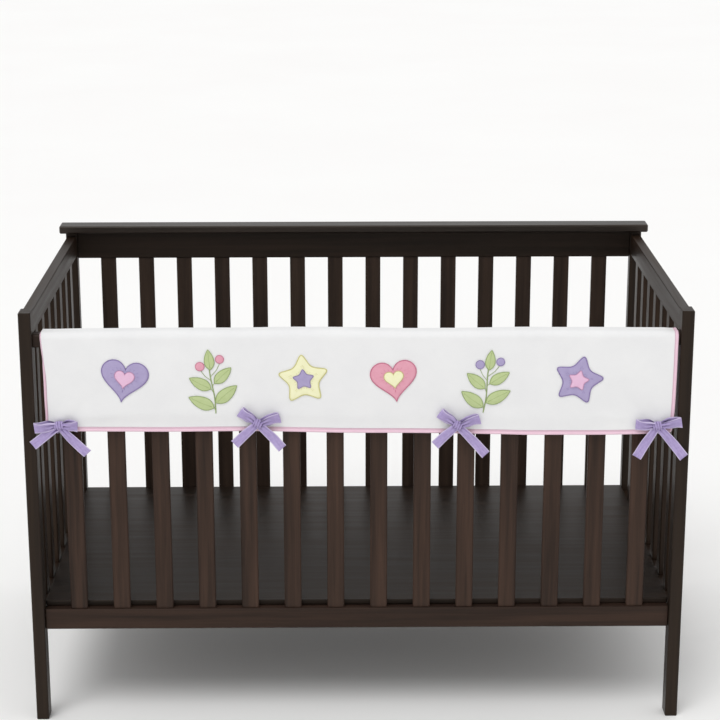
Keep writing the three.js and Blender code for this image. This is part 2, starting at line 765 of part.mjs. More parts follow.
function addLayered(name, outlineAt, { x, z, reach, turn, cloth, middle }) {
  const overCloth = patch.lift + patch.thick + patch.over;
  const large = placed(outlineAt(reach), x, z, turn);
  add(name, patchShape(large, [x, z], patch.lift, 2), cloth);
  const small = placed(outlineAt(reach * topPatch.share), x, z, turn);
  add(`${name}_inner`, patchShape(small, [x, z], overCloth, topPatch.rings), middle);
}

function addSprig({ name, x, z, size, turn, berries }) {
  const spot = ([a, b]) => placed([[a * size, b * size]], x, z, turn)[0];
  sprigLeaves.forEach((leaf, k) => {
    const [cx, cz] = spot(leaf.at);
    const outline = placed(leafOutline(leaf.half * size, leaf.wide * size, 16), cx, cz, leaf.turn + turn);
    add(`sprig_${name}_leaf_${k + 1}`, patchShape(outline, [cx, cz], patch.lift, 1), 'green');
  });
  sprigBerries.forEach((berry, k) => {
    const [cx, cz] = spot(berry.at);
    const outline = placed(oval(berry.half * size, berry.half * size, 14), cx, cz, 0);
    add(`sprig_${name}_berry_${k + 1}`, patchShape(outline, [cx, cz], patch.lift, 1), berries);
  });
}

function addPatches() {
  const heartAt = (reach) => heartOutline(reach, 28);
  const starAt = (reach) => starOutline(reach, 2);
  for (const shape of hearts) addLayered(`heart_${shape.name}`, heartAt, shape);
  for (const shape of stars) addLayered(`star_${shape.name}`, starAt, shape);
  sprigs.forEach(addSprig);
}

addPosts();
addFront();
addBack();
addSides();
addBoard();
addCover();
addPiping();
addTies();
addPatches();

// The origin goes under the middle of the whole.
const box = new THREE.Box3().setFromObject(whole);
whole.position.set(-(box.min.x + box.max.x) / 2, -(box.min.y + box.max.y) / 2, -box.min.z);
whole.updateMatrixWorld(true);

export default whole;
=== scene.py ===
import math

import bpy
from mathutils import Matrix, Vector, noise


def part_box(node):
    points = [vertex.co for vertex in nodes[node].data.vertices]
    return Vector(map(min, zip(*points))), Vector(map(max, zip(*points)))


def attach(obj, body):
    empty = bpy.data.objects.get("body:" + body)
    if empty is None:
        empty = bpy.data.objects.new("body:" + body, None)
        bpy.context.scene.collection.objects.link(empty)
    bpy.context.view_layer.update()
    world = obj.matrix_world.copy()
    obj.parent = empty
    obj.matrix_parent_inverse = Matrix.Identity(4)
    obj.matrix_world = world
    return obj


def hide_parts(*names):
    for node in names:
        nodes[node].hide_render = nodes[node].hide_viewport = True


# Crib rail cover on its crib. Metres, front towards -Y.
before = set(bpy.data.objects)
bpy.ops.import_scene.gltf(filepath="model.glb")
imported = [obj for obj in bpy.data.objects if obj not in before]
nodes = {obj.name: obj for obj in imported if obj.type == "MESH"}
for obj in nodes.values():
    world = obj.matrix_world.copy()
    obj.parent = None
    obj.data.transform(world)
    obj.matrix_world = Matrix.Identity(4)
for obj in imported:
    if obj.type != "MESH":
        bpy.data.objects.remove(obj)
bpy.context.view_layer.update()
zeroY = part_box("slat_front_01")[0].y  # the front slats' front face
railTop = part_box("rail_top_front")[1].z
print("frame loaded,", len(nodes), "nodes")

# Camera, as the photograph was taken
view = {"place": (-0.035, zeroY - 3.978, 1.92), "down": 15.75, "right": 0.61, "roll": 0.05, "lens": 100.3}
cameraData = bpy.data.cameras.new("camera")
cameraData.lens = view["lens"]
cameraData.sensor_width = 36
cameraData.clip_end = 200
camera = bpy.data.objects.new("camera", cameraData)
camera.location = view["place"]
turns = (90 - view["down"], view["roll"], -view["right"])
camera.rotation_euler = [math.radians(turn) for turn in turns]
bpy.context.scene.collection.objects.link(camera)
bpy.context.scene.camera = camera


# Shader helpers
def hexColor(text):
    parts = [int(text[i : i + 2], 16) / 255 for i in (0, 2, 4)]
    return [c / 12.92 if c < 0.04045 else ((c + 0.055) / 1.055) ** 2.4 for c in parts] + [1]


def plug(tree, socket, value):
    if isinstance(value, (int, float, tuple, list)):
        socket.default_value = value
    elif value is not None:
        tree.links.new(value, socket)


def newGroup(name, inputs, outputs):
    group = bpy.data.node_groups.new(name, "ShaderNodeTree")
    for label, kind, value in inputs:
        socket = group.interface.new_socket(label, in_out="INPUT", socket_type=kind)
        if value is not None:
            socket.default_value = value
    for label in outputs:
        group.interface.new_socket(label, in_out="OUTPUT", socket_type="NodeSocketFloat")
    return group, group.nodes.new("NodeGroupInput"), group.nodes.new("NodeGroupOutput")


def calc(tree, operation, *values):
    node = tree.nodes.new("ShaderNodeMath")
    node.operation = operation
    for socket, value in zip(node.inputs, values):
        plug(tree, socket, value)
    return node.outputs[0]


def mixColor(tree, factor, a, b):
    node = tree.nodes.new("ShaderNodeMix")
    node.data_type = "RGBA"
    plug(tree, node.inputs["Factor"], factor)
    plug(tree, node.inputs[6], a)
    plug(tree, node.inputs[7], b)
    return node.outputs[2]


def noiseTexture(tree, vector, scale, detail=3.0, rough=0.55):
    node = tree.nodes.new("ShaderNodeTexNoise")
    plug(tree, node.inputs["Scale"], scale)
    node.inputs["Detail"].default_value = detail
    node.inputs["Roughness"].default_value = rough
    tree.links.new(vector, node.inputs["Vector"])
    return node.outputs["Fac"]


def scaled(tree, vector, scale):
    node = tree.nodes.new("ShaderNodeMapping")
    plug(tree, node.inputs["Scale"], scale)
    tree.links.new(vector, node.inputs["Vector"])
    return node.outputs["Vector"]


def ranged(tree, value, low, high, toLow=0, toHigh=1):
    node = tree.nodes.new("ShaderNodeMapRange")
    for label, number in (("From Min", low), ("From Max", high), ("To Min", toLow), ("To Max", toHigh)):
        node.inputs[label].default_value = number
    tree.links.new(value, node.inputs["Value"])
    return node.outputs["Result"]


# Woven threads: two sets across each other, on a flat vector in metres
def buildWeave():
    inputs = [
        ("Vector", "NodeSocketVector", None),
        ("Pitch", "NodeSocketFloat", 0.0007),
        ("Slubs", "NodeSocketVector", (60, 900, 1)),
    ]
    group, gin, gout = newGroup("weave", inputs, ["Height", "Slub"])
    place = gin.outputs["Vector"]
    split = group.nodes.new("ShaderNodeSeparateXYZ")
    group.links.new(place, split.inputs[0])
    turn = calc(group, "DIVIDE", 2 * math.pi, gin.outputs["Pitch"])
    shift = calc(group, "MULTIPLY", noiseTexture(group, place, 160.0), 2.5)
    warp, weft = [
        calc(group, "SINE", calc(group, "MULTIPLY_ADD", split.outputs[axis], turn, shift)) for axis in (0, 1)
    ]
    slub = noiseTexture(group, scaled(group, place, gin.outputs["Slubs"]), 1.0, 2.0)
    slub = ranged(group, slub, 0.3, 0.7)
    both = calc(group, "MULTIPLY", warp, weft)
    group.links.new(calc(group, "MULTIPLY_ADD", both, 0.5, slub), gout.inputs["Height"])
    group.links.new(slub, gout.inputs["Slub"])
    return group


# Soft unevenness of dyed cloth, thread and paint
def buildMottle():
    inputs = [("Vector", "NodeSocketVector", None), ("Scale", "NodeSocketFloat", 30.0)]
    group, gin, gout = newGroup("mottle", inputs, ["Mask"])
    place = gin.outputs["Vector"]
    coarse = calc(group, "MULTIPLY", noiseTexture(group, place, gin.outputs["Scale"], 4.0), 0.7)
    total = calc(group, "MULTIPLY_ADD", noiseTexture(group, place, 600.0, 2.0), 0.3, coarse)
    group.links.new(ranged(group, total, 0.3, 0.7), gout.inputs["Mask"])
    return group


# Grain: streaks and pores that run along the vector's Z
def buildGrain():
    group, gin, gout = newGroup("grain", [("Vector", "NodeSocketVector", None)], ["Streak", "Pores"])
    bend = group.nodes.new("ShaderNodeTexNoise")
    bend.inputs["Scale"].default_value = 3
    group.links.new(gin.outputs["Vector"], bend.inputs["Vector"])
    bent = group.nodes.new("ShaderNodeVectorMath")
    bent.operation = "MULTIPLY_ADD"
    bent.inputs[1].default_value = (0.012, 0.012, 0)
    group.links.new(bend.outputs["Color"], bent.inputs[0])
    group.links.new(gin.outputs["Vector"], bent.inputs[2])
    wide = noiseTexture(group, scaled(group, bent.outputs[0], (70, 70, 2.2)), 1.0, 5.0, 0.6)
    pores = noiseTexture(group, scaled(group, bent.outputs[0], (900, 900, 22)), 1.0, 2.0)
    group.links.new(ranged(group, wide, 0.3, 0.72), gout.inputs["Streak"])
    group.links.new(ranged(group, pores, 0.5, 0.75), gout.inputs["Pores"])
    return group


groups = {"weave": buildWeave(), "mottle": buildMottle(), "grain": buildGrain()}


def placeGroup(tree, name, **values):
    node = tree.nodes.new("ShaderNodeGroup")
    node.node_tree = groups[name]
    for label, value in values.items():
        plug(tree, node.inputs[label], value)
    return node.outputs


def newMaterial(name, rough, **principled):
    material = bpy.data.materials.new(name)
    material.use_nodes = True
    shader = material.node_tree.nodes["Principled BSDF"]
    shader.inputs["Roughness"].default_value = rough
    for label, value in principled.items():
        shader.inputs[label.replace("_", " ")].default_value = value
    return material, material.node_tree, shader


def bump(tree, shader, height, strength, distance):
    node = tree.nodes.new("ShaderNodeBump")
    node.inputs["Strength"].default_value = strength
    node.inputs["Distance"].default_value = distance
    tree.links.new(height, node.inputs["Height"])
    tree.links.new(node.outputs[0], shader.inputs["Normal"])


# The mark attribute carries painted light: above 0 the marked colour, below 0 painted shade
def markOf(tree):
    node = tree.nodes.new("ShaderNodeAttribute")
    node.attribute_name = "mark"
    return node.outputs["Fac"]


# Plain weave. The marked colour is painted where a piece's mark nears 1: painted shade on the piping strip
# beside its cord, a painted highlight along ribbon edges. Where the mark nears -1 a darker colour is painted
# as shade in ribbon folds, inside the loops and round the knots.
def clothMaterial(
    name, light, dark, marked=None, creased=None, pitch=0.0007, scale=25.0, sheen=0.15, slubs=0.25,
    slubScale=(60, 900, 1),
):
    material, tree, shader = newMaterial(name, 0.92, Sheen_Weight=sheen, Specular_IOR_Level=0.2)
    place = tree.nodes.new("ShaderNodeUVMap").outputs[0]
    weave = placeGroup(tree, "weave", Vector=place, Pitch=pitch, Slubs=slubScale)
    mottle = placeGroup(tree, "mottle", Vector=place, Scale=scale)
    shade = calc(tree, "MULTIPLY", mottle["Mask"], 1 - slubs)
    shade = calc(tree, "MULTIPLY_ADD", weave["Slub"], slubs, shade)
    color = mixColor(tree, shade, hexColor(dark), hexColor(light))
    if marked:
        color = mixColor(tree, markOf(tree), color, hexColor(marked))
    if creased:
        color = mixColor(tree, calc(tree, "MULTIPLY", markOf(tree), -1), color, hexColor(creased))
    tree.links.new(color, shader.inputs["Base Color"])
    bump(tree, shader, weave["Height"], 0.5, 0.00012)
    return material


def threadMaterial(name, light, dark):
    material, tree, shader = newMaterial(name, 0.5, Sheen_Weight=0.3)
    place = tree.nodes.new("ShaderNodeTexCoord").outputs["Object"]
    mask = placeGroup(tree, "mottle", Vector=place, Scale=120.0)["Mask"]
    tree.links.new(mixColor(tree, mask, hexColor(dark), hexColor(light)), shader.inputs["Base Color"])
    return material


# Dark stained wood, with its grain along the named axis. A panel has a second pair of colours for the
# slats that stand between its rails.
panelRails = (0.25, 0.846)  # the heights between which a panel's wood stands upright
warmShine = (1, 0.9, 0.82, 1)


def woodMaterial(name, axis, dark, light, upright=None, rough=0.4, shine=0.2):
    material, tree, shader = newMaterial(name, rough, Specular_IOR_Level=shine, Specular_Tint=warmShine)
    place = tree.nodes.new("ShaderNodeTexCoord").outputs["Object"]
    split = tree.nodes.new("ShaderNodeSeparateXYZ")
    tree.links.new(place, split.inputs[0])
    turned = tree.nodes.new("ShaderNodeCombineXYZ")
    for i, source in enumerate({"X": (1, 2, 0), "Y": (0, 2, 1), "Z": (0, 1, 2)}[axis]):
        tree.links.new(split.outputs[source], turned.inputs[i])
    vector = turned.outputs[0]
    dark, light = hexColor(dark), hexColor(light)
    if upright:
        above = calc(tree, "GREATER_THAN", split.outputs[2], panelRails[0])
        below = calc(tree, "LESS_THAN", split.outputs[2], panelRails[1])
        stands = calc(tree, "MULTIPLY", above, below)
        pick = tree.nodes.new("ShaderNodeMix")
        pick.data_type = "VECTOR"
        tree.links.new(stands, pick.inputs["Factor"])
        tree.links.new(vector, pick.inputs[4])
        tree.links.new(place, pick.inputs[5])
        vector = pick.outputs[1]
        dark, light = [mixColor(tree, stands, a, hexColor(b)) for a, b in zip((dark, light), upright)]
    grain = placeGroup(tree, "grain", Vector=vector)
    tree.links.new(mixColor(tree, grain["Streak"], dark, light), shader.inputs["Base Color"])
    streaked = ranged(tree, grain["Streak"], 0, 1, rough - 0.06, rough + 0.08)
    tree.links.new(streaked, shader.inputs["Roughness"])
    bump(tree, shader, grain["Pores"], 0.25, 0.0003)
    return material


woodLooks = {
    "slat_": woodMaterial("woodSlats", "Z", "221915", "443229"),
    "post_": woodMaterial("woodPosts", "Z", "19120e", "2b2119"),
    "panel_side": woodMaterial("woodSidePanel", "Y", "1a120d", "2f2219", ("1e150f", "34261c")),
    "panel_back": woodMaterial("woodBackPanel", "X", "15100c", "281e18", ("221a16", "3a2d25")),
    "rail_": woodMaterial("woodRails", "X", "1f1612", "3a2a22"),
    "cap_": woodMaterial("woodCap", "X", "120e0b", "241b16", rough=0.34, shine=0.45),
    "base_": woodMaterial("woodBoard", "X", "15100c", "281e18"),
}
for name, piece in nodes.items():
    for start, look in woodLooks.items():
        if name.startswith(start):
            piece.data.materials.clear()
            piece.data.materials.append(look)
print("wood finished")


# Mesh helpers
def mix(a, b, share):
    return a + (b - a) * share


def mixPoint(a, b, share):
    return mix(a[0], b[0], share), mix(a[1], b[1], share)


def smooth(value):
    value = min(1, max(0, value))
    return value * value * (3 - 2 * value)


# Reads rows of (key, value) along a smooth curve through them
def read(table, key):
    if key <= table[0][0] or key >= table[-1][0]:
        return table[0][1] if key <= table[0][0] else table[-1][1]
    k = next(i for i, row in enumerate(table) if row[0] > key)
    (a, atA), (b, atB) = table[k - 1], table[k]
    before, after = table[max(0, k - 2)], table[min(len(table) - 1, k + 1)]
    s = (key - a) / (b - a)
    slopeA = (atB - before[1]) / (b - before[0]) * (b - a)
    slopeB = (after[1] - atA) / (after[0] - a) * (b - a)
    level = atA * (1 - s) ** 2 * (1 + 2 * s) + atB * s * s * (3 - 2 * s)
    return level + slopeA * s * (1 - s) ** 2 - slopeB * s * s * (1 - s)


# Shares from 0 to 1 that lie closer together at both ends
def uneven(count, near):
    return [mix(i / count, smooth(i / count), near) for i in range(count + 1)]


# Skins rings of points into a closed body. The UV is metres along and metres around.
def skin(rings, marks=None, closed=False):
    count = len(rings[0])
    along, around = [0.0], [0.0]
    for a, b in zip(rings, rings[1:] + rings[:1]):
        along.append(along[-1] + (b[0] - a[0]).length)
    middle = rings[len(rings) // 2]
    for a, b in zip(middle, middle[1:] + middle[:1]):
        around.append(around[-1] + (b - a).length)
    faces, uvs = [], []
    for k in range(len(rings) if closed else len(rings) - 1):
        n = (k + 1) % len(rings)
        for i in range(count):
            j = (i + 1) % count
            faces.append((k * count + i, k * count + j, n * count + j, n * count + i))
            low, high = around[i], around[i + 1]
            uvs.append([(along[k], low), (along[k], high), (along[k + 1], high), (along[k + 1], low)])
    end = (len(rings) - 1) * count
    for i in range(0 if closed else count // 2 - 1):
        a, b, c, d = i, i + 1, count - 2 - i, count - 1 - i
        faces += [(b, a, d, c), (end + a, end + b, end + c, end + d)]
        uvs.append([(0, around[b]), (0, around[a]), (0, around[a]), (0, around[b])])
        uvs.append([(along[-2], around[v]) for v in (a, b, b, a)])
    points = [p for ring in rings for p in ring]
    return {"points": points, "faces": faces, "uvs": uvs, "marks": marks or [0.0] * len(points)}


# One object from one or more closed bodies, each turned outward
def makePiece(name, parts, material):
    points, faces, uvs, marks = [], [], [], []
    for part in parts:
        at = part["points"]
        centre = sum(at, Vector()) / len(at)
        volume = 0
        for face in part["faces"]:
            a, b, c = (at[i] - centre for i in face[:3])
            volume += a.dot(b.cross(c))
            if len(face) == 4:
                volume += a.dot(c.cross(at[face[3]] - centre))
        order = 1 if volume > 0 else -1
        faces += [tuple(len(points) + i for i in face[::order]) for face in part["faces"]]
        uvs += [corner for ring in part["uvs"] for corner in ring[::order]]
        marks += part["marks"]
        points += at
    mesh = bpy.data.meshes.new(name)
    mesh.from_pydata([tuple(p) for p in points], [], faces)
    mesh.uv_layers.new(name="UVMap").data.foreach_set("uv", [c for uv in uvs for c in uv])
    mesh.attributes.new("mark", "FLOAT", "POINT").data.foreach_set("value", marks)
    return finishPiece(name, mesh, material)


def finishPiece(name, mesh, material):
    mesh.update()
    mesh.shade_smooth()
    mesh.materials.clear()
    mesh.materials.append(material)
    piece = bpy.data.objects.new(name, mesh)
    bpy.context.scene.collection.objects.link(piece)
    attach(piece, "root")
    return piece


# The cover's form, from its own sizes as it was cut and hung. Full, turned and thin are how thick it is
# on the flaps, over the rail and at the sewn edge. Cloth pulls in and fans out round each knot.
cover = {
    "full": 0.009,
    "turned": 0.0072,
    "thin": 0.004,
    "taper": 0.032,
    "fillsBy": 0.07,
    "insideFront": -0.0075,
    "insideBack": 0.0255,
    "radius": 0.008,
    "sinks": 0.0017,
    "rise": 0.0006,
    "tucked": (0.95, 0.2),
    "bulge": 0.0015,
    "laps": 0.0038,
    "lapsTo": 0.5,
    "lifts": 0.0026,
    "settles": 0.0015,
    "backShift": 1.9,
    "pullDepth": 0.0014,
    "pullReach": 0.055,
    "pucker": 0.0005,
    "puckerEvery": 0.016,
    "puckerReach": 0.010,
    "fan": 0.0011,
    "fanRays": 6,
    "fanReach": 0.032,
    "fanWithin": 0.15,
    "columns": 190,
    "flapRows": 34,
    "foldRows": 16,
}
frontHem = [
    (-0.65, 0.6605), (-0.498, 0.6598), (-0.407, 0.6589), (-0.277, 0.6593), (-0.128, 0.6572),
    (-0.04, 0.656), (0.11, 0.6547), (0.22, 0.6525), (0.309, 0.6506), (0.345, 0.6492),
    (0.409, 0.6488), (0.5, 0.6492), (0.6, 0.651), (0.655, 0.6525),
]
backHem = [(-0.65, 0.656), (-0.3, 0.653), (0.06, 0.657), (0.38, 0.651), (0.655, 0.655)]
leftEdge = [
    (0, -0.6426), (0.16, -0.641), (0.3, -0.6402), (0.43, -0.6389), (0.7, -0.6387), (0.9, -0.6382),
    (1, -0.6395),
]
rightEdge = [
    (0, 0.6526), (0.16, 0.6517), (0.3, 0.6515), (0.43, 0.6513), (0.7, 0.6506), (0.9, 0.6494),
    (1, 0.6472),
]
onTop = [
    (-0.64, 0.003), (-0.57, 0.0038), (-0.424, 0.0052), (-0.265, 0.005), (-0.125, 0.0064),
    (-0.034, 0.0059), (0.027, 0.0044), (0.106, 0.0024), (0.18, 0.0026), (0.259, 0.0032),
    (0.342, 0.0045), (0.413, 0.0036), (0.49, 0.0031), (0.6, 0.0018), (0.65, 0.0016),
]
waves = [(0.0014, 0.56, 0.6), (0.0008, 0.29, 2.1)]  # height, length, shift
lumps = [(0.0007, 7, 9, 2), (0.0002, 34, 30, 3)]  # height, and how close along x, z and t
knots = [(-0.6156, 0.6657), (-0.2057, 0.6681), (0.2075, 0.6636), (0.6217, 0.661)]
springZ = railTop + 0.002 - cover["radius"]
foldFlat = cover["insideBack"] - cover["insideFront"] - 2 * cover["radius"]
foldArc = cover["radius"] * math.pi / 2
foldLength = 2 * foldArc + foldFlat
# Soft creases on the front flap, listed: from, to, half width, depth (a ridge is negative)
creases = [
    ((-0.60, 0.676), (-0.53, 0.735), 0.010, 0.0009),
    ((-0.585, 0.672), (-0.49, 0.690), 0.009, -0.0007),
    ((-0.215, 0.684), (-0.262, 0.738), 0.009, 0.0008),
    ((-0.188, 0.682), (-0.120, 0.716), 0.010, 0.0008),
    ((0.198, 0.680), (0.150, 0.722), 0.009, 0.0008),
    ((0.222, 0.678), (0.305, 0.712), 0.011, 0.0009),
    ((0.602, 0.676), (0.535, 0.742), 0.011, 0.0010),
    ((0.598, 0.668), (0.49, 0.684), 0.009, -0.0008),
    ((-0.50, 0.838), (-0.36, 0.826), 0.012, 0.0006),
    ((0.30, 0.834), (0.43, 0.842), 0.012, 0.0006),
    ((0.05, 0.842), (0.16, 0.836), 0.010, 0.0005),
]


# Round the rail, t runs from 0 at the front hem over the fold, 1 to 2, to 3 at the back hem. The drop is
# 0 on the fold and 1 at a hem.
def dropAt(t):
    return max(0, 1 - t, t - 2)


def hemHeight(x, t):
    return read(frontHem if t < 1.5 else backHem, x)


# Up by the rail the left edge laps over its piping. From 0, not at all, to 1
def lapAt(t):
    return 1 - smooth(dropAt(t) / cover["lapsTo"])


def atShare(v, t):
    drop = dropAt(t)
    return mix(read(leftEdge, drop) - cover["laps"] * lapAt(t), read(rightEdge, drop), v)


# From 0 on the flaps to 1 over the rail
def pressedAt(t):
    return smooth((t - 0.93) / 0.12) * smooth((2.07 - t) / 0.12)


# How thick the cover is away from its edges
def loftAt(x, t):
    if 1 < t < 2:
        fromTop = max(0, abs(t - 1.5) * foldLength - foldFlat / 2) / foldArc
        return mix(read(onTop, x), cover["turned"], fromTop**1.5)
    fall = dropAt(t) * (springZ - hemHeight(x, t))
    return mix(cover["turned"], cover["full"], math.sin(min(1, fall / cover["fillsBy"]) * math.pi / 2))


# How far the cloth stands off a flat drop: waves and the ties' pull grow toward the hem, and a flap
# bulges halfway down
def slackAt(x, t):
    drop = dropAt(t)
    phase = 0 if t < 1.5 else cover["backShift"]
    slack = sum(h * math.sin(2 * math.pi * x / length + shift + phase) for h, length, shift in waves)
    for knotX, _ in knots:
        slack -= cover["pullDepth"] * drop * math.exp(-(((x - knotX) / cover["pullReach"]) ** 2))
    return slack * drop + cover["bulge"] * math.sin(math.pi * drop)


# The inner face's y and z before any slack, the way out, and how far it sinks on to the rail
def lineAt(x, t):
    if t <= 1 or t >= 2:
        z = mix(springZ, hemHeight(x, t), dropAt(t))
        return (cover["insideFront"], z, (-1, 0), 0) if t <= 1 else (cover["insideBack"], z, (1, 0), 0)
    along = (t - 1) * foldLength
    flat = min(foldFlat, max(0, along - foldArc))
    turned = (along - flat) / foldArc * math.pi / 2
    out = (-math.cos(turned), math.sin(turned))
    y = cover["insideFront"] + cover["radius"] + flat + out[0] * cover["radius"]
    z = springZ + out[1] * cover["radius"]
    return y, z, out, cover["sinks"] * max(0, math.sin(math.pi * flat / foldFlat)) ** 0.6


# Small relief of the outer face: puckers along the sewn edge, soft lumps, fans at the ties, creases
def reliefAt(x, z, t, side, hem):
    edge = min(side, hem)
    run = z if side < hem else x
    uneasy = 4 * noise.noise(Vector((run * 30, 1.7, 0)))
    pucker = cover["pucker"] * math.sin(2 * math.pi * run / cover["puckerEvery"] + uneasy)
    relief = pucker * math.exp(-edge / cover["puckerReach"]) * smooth(edge / 0.003)
    for height, alongX, alongZ, alongT in lumps:
        relief += height * noise.noise(Vector((x * alongX, z * alongZ, t * alongT)))
    if t > 1.05:
        return relief
    for knotX, knotZ in knots:
        dx, dz = x - knotX, z - knotZ
        away = math.hypot(dx, dz)
        if away < cover["fanWithin"]:
            fan = cover["fan"] * math.cos(cover["fanRays"] * math.atan2(dz, dx) + 9 * knotX)
            relief += fan * math.exp(-away / cover["fanReach"]) * smooth(away / 0.018)
    for (x0, z0), (x1, z1), half, depth in creases:
        crease = Vector((x1 - x0, z1 - z0))
        share = ((x - x0) * crease.x + (z - z0) * crease.y) / crease.length_squared
        if -0.3 < share < 1.3:
            off = ((x - x0) * crease.y - (z - z0) * crease.x) / crease.length
            fade = smooth((share + 0.25) / 0.4) * smooth((1.25 - share) / 0.5)
            relief -= depth * math.exp(-((off / half) ** 2)) * fade
    return relief


# A point on the outer or the inner face. Toward a sewn edge the cover thins from its outer face on the
# left and mostly from its inner face on the right.
def coverPoint(x, t, outside):
    y, z, out, sink = lineAt(x, t)
    left, right = atShare(0, t), atShare(1, t)
    side = max(0, min(x - left, right - x))
    hem = max(0, (1 - dropAt(t)) * (springZ - hemHeight(x, t)))
    loft = loftAt(x, t)
    thickness = mix(min(cover["thin"], loft), loft, smooth(min(side, hem) / cover["taper"]))
    tucked = mix(*cover["tucked"], (x - left) / (right - left))
    atEdge = 1 - smooth(side / cover["taper"])
    away = slackAt(x, t) + (loft - thickness) * (1 - tucked) + cover["rise"] * atEdge
    if outside:
        away += thickness + reliefAt(x, z, t, side, hem)
        away -= cover["settles"] * pressedAt(t) * (1 - smooth((right - x) / 0.025))
    else:
        away += cover["lifts"] * lapAt(t) * (1 - smooth((x - left - 0.004) / 0.007)) - sink
    return Vector((x, zeroY + y + out[0] * away, z + out[1] * away))


# The front flap's outer face
def faceY(x, z):
    return coverPoint(x, 1 - (springZ - z) / (springZ - hemHeight(x, 0)), True).y


flapRows = uneven(cover["flapRows"], 0.45)
foldRows = [1 + i / cover["foldRows"] for i in range(1, cover["foldRows"])]
# A row close to each hem and a column close to each side keep the edges crisp
crispRow, crispColumn = 0.0035, 0.0004
coverRows = [0, crispRow, *flapRows[1:], *foldRows, *[2 + s for s in flapRows[:-1]], 3 - crispRow, 3]
coverCloth = clothMaterial("coverCloth", "ebebeb", "e4e4e5", scale=14.0, sheen=0.05, slubs=0.15)
rings = []
coverColumns = uneven(cover["columns"], 0.12)
for v in [0, crispColumn, *coverColumns[1:-1], 1 - crispColumn, 1]:
    outside = [coverPoint(atShare(v, t), t, True) for t in coverRows]
    inside = [coverPoint(atShare(v, t), t, False) for t in coverRows]
    rings.append(outside[::-1] + inside)
railCover = makePiece("railCover", [skin(rings)], coverCloth)
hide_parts("cover")
print("cover made,", len(railCover.data.polygons), "faces")

# Piping: a cord in a bias strip. The strip's flat part beside the cord is painted darker, as the seam's
# shade, and hem, right and left are its widths there. On the rail the cord is pressed flat.
piping = {
    "radius": 0.0031, "pressed": 0.0012, "hem": 0.0042, "right": 0.0014, "left": 0.0006,
    "clear": 0.0002, "edge": 0.0017, "under": 0.0006, "rollsBack": 45, "columns": 150,
}
# dab9c8 is painted shade for the strip's flat part beside the cord
pipingCloth = clothMaterial("pipingCloth", "edcddb", "e4c1d1", marked="dab9c8", pitch=0.0006, scale=60.0)


# The left edge rolls back behind the flap, down from the rail
def edgePlace(v, t, side, down):
    x = atShare(v, t)
    outer, inner = coverPoint(x, t, True), coverPoint(x, t, False)
    flatFace, flatOut = (outer - inner).normalized(), Vector((side, 0, -down))
    leftward = max(0, -side)
    turn = math.radians(piping["rollsBack"]) * leftward * smooth((0.95 - t) / 0.23)
    face = flatFace * math.cos(turn) + flatOut * math.sin(turn)
    out = flatOut * math.cos(turn) - flatFace * math.sin(turn)
    lap = lapAt(t) * leftward
    behind = smooth(lap * 1.6)
    thick = mix(piping["radius"], piping["pressed"], max(pressedAt(t), behind))
    sewn = min(piping["edge"], thick * 0.8)
    flange = mix(piping["hem"], piping["right"] if side > 0 else piping["left"], abs(side))
    y, z, lineOut, _ = lineAt(x, t)
    away = slackAt(x, t) - piping["under"]
    under = Vector((x, zeroY + y + lineOut[0] * away, z + lineOut[1] * away))
    start = outer.lerp(inner, 0.5).lerp(under, behind) - flatOut * (cover["laps"] * lap)
    start += out * (piping["clear"] + piping["edge"] * math.sin(turn))

    def at(outward, up):
        return start + out * outward + face * up

    cord = [
        at(flange + piping["radius"] * (1 + math.cos(angle)), thick * math.sin(angle))
        for angle in (math.radians(150 - 25 * i) for i in range(13))
    ]
    flat = [(0, sewn), (flange * 0.5, sewn * 0.92), (flange * 0.92, sewn * 0.7)]
    return [*[at(*spot) for spot in flat], *cord, *[at(far, -up) for far, up in reversed(flat)]]


shares = uneven(piping["columns"], 0.1)
corner = [(math.sin(a), math.cos(a)) for a in (math.radians(d) for d in range(12, 85, 12))]
rings = [edgePlace(v, 0, 0, 1) for v in shares]
rings += [edgePlace(1, 0, side, down) for side, down in corner]
rings += [edgePlace(1, t, 1, 0) for t in coverRows]
rings += [edgePlace(1, 3, side, down) for side, down in reversed(corner)]
rings += [edgePlace(v, 3, 0, 1) for v in reversed(shares)]
rings += [edgePlace(0, 3, -side, down) for side, down in corner]
rings += [edgePlace(0, t, -1, 0) for t in reversed(coverRows)]
rings += [edgePlace(0, 0, -side, down) for side, down in reversed(corner)]
# The strip's flat points take the painted seam shade, the cord none
marks = [1.0, 1.0, 1.0, 0.4, *[0.0] * 11, 0.4, 1.0, 1.0, 1.0]
pipingCord = makePiece("pipingCord", [skin(rings, marks * len(rings), closed=True)], pipingCloth)
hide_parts("piping")
print("piping made")

# Ribbon bows. Offsets from the knot are along X and Z. Each bow has a bend and a fold for each tail,
# and a pleat phase for both loops and both tails.
ribbon = {
    "width": 0.021, "gathered": 0.011, "pinched": 0.0162, "thick": 0.0009, "across": 19, "steps": 40,
    "pleating": 2.3, "deepest": 0.0024, "knot": (0.0112, 0.0068, 0.0094), "inKnot": 0.06,
    "strapFlat": (0.014, 0.062),
}
loop = {"depth": 0.0048, "drift": 0.002, "from": 0.12, "frontLean": 0.45, "backLean": 0.10, "wider": 0.002}
tail = {"from": 0.06, "ripple": 0.0015, "cup": 0.0016, "narrow": 0.9}
wrap = {"slices": 24, "points": 32, "turns": 4.2, "shift": 0.9, "groove": 0.1, "front": 1.35}
# ccc1dc is a painted highlight for the ribbon edges, 4d3f68 painted shade for folds, loop insides and the
# knots
ribbonCloth = clothMaterial(
    "ribbonCloth", "b9a9d4", "9787b6", marked="ccc1dc", creased="4d3f68", pitch=0.0012, scale=150.0,
    sheen=0.15, slubs=0.5, slubScale=(45, 420, 1),
)
